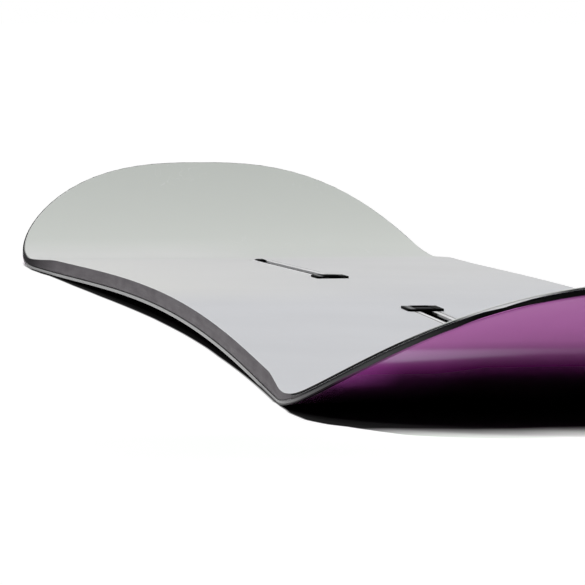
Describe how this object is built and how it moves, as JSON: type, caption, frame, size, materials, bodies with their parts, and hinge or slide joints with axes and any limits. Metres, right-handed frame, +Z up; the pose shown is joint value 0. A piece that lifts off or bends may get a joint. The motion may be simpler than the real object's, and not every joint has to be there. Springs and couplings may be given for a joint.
{
  "type": "snowboard",
  "caption": "Twin-tip snowboard with camber, full-wrap steel edges, glossy base and centreline channels with removable port plugs.",
  "frame": {"origin": "on the floor, under the centre of the board's length and width", "axes": "+X along the board towards the nose, +Y across it, +Z up, away from the snow"},
  "size_m": [1.576, 0.2936, 0.0694],
  "materials": {
    "base_sheet": "purple, polished",
    "lower_laminate": "fibre and resin",
    "upper_laminate": "fibre and resin",
    "topsheet": "pale grey, satin",
    "steel_edge_left": "ground",
    "damping_strip_left": "matt",
    "sidewall_left": "dark grey, satin",
    "core_inner_left": "bare, light strip",
    "core_middle_left": "bare, dark strip",
    "core_outer_left": "bare, light strip",
    "steel_edge_right": "ground",
    "damping_strip_right": "matt",
    "sidewall_right": "dark grey, satin",
    "core_inner_right": "bare, light strip",
    "core_middle_right": "bare, dark strip",
    "core_outer_right": "bare, light strip",
    "core_block_centre": "bare, dark strip",
    "core_block_nose": "bare, dark strip",
    "tip_spacer_nose": "black, satin",
    "channel_floor_nose": "plain",
    "channel_stop_nose": "black",
    "channel_wall_nose_left": "black",
    "channel_lip_nose_left": "grey, ribbed inner side",
    "channel_wall_nose_right": "black",
    "channel_lip_nose_right": "grey, ribbed inner side",
    "core_block_tail": "bare, dark strip",
    "tip_spacer_tail": "black, satin",
    "channel_floor_tail": "plain",
    "channel_stop_tail": "black",
    "channel_wall_tail_left": "black",
    "channel_lip_tail_left": "grey, ribbed inner side",
    "channel_wall_tail_right": "black",
    "channel_lip_tail_right": "grey, ribbed inner side",
    "port_plug_nose": "black, polished",
    "port_plug_tail": "black, polished"
  },
  "bodies": {
    "board": {"base_sheet": "base_sheet", "lower_laminate": "lower_laminate", "upper_laminate": "upper_laminate", "topsheet": "topsheet", "steel_edge_left": "steel_edge_left", "damping_strip_left": "damping_strip_left", "sidewall_left": "sidewall_left", "core_inner_left": "core_inner_left", "core_middle_left": "core_middle_left", "core_outer_left": "core_outer_left", "steel_edge_right": "steel_edge_right", "damping_strip_right": "damping_strip_right", "sidewall_right": "sidewall_right", "core_inner_right": "core_inner_right", "core_middle_right": "core_middle_right", "core_outer_right": "core_outer_right", "core_block_centre": "core_block_centre", "core_block_nose": "core_block_nose", "tip_spacer_nose": "tip_spacer_nose", "channel_floor_nose": "channel_floor_nose", "channel_stop_nose": "channel_stop_nose", "channel_wall_nose_left": "channel_wall_nose_left", "channel_lip_nose_left": "channel_lip_nose_left", "channel_wall_nose_right": "channel_wall_nose_right", "channel_lip_nose_right": "channel_lip_nose_right", "core_block_tail": "core_block_tail", "tip_spacer_tail": "tip_spacer_tail", "channel_floor_tail": "channel_floor_tail", "channel_stop_tail": "channel_stop_tail", "channel_wall_tail_left": "channel_wall_tail_left", "channel_lip_tail_left": "channel_lip_tail_left", "channel_wall_tail_right": "channel_wall_tail_right", "channel_lip_tail_right": "channel_lip_tail_right"},
    "nose_plug": {"port_plug_nose": "port_plug_nose"},
    "tail_plug": {"port_plug_tail": "port_plug_tail"}
  },
  "joints": [
    {"name": "nose_plug_slide", "type": "slide", "parent": "board", "child": "nose_plug", "axis": [0.0112, 0, 0.9999], "range_m": [0, 0.03]},
    {"name": "tail_plug_slide", "type": "slide", "parent": "board", "child": "tail_plug", "axis": [-0.0112, 0, 0.9999], "range_m": [0, 0.03]}
  ]
}
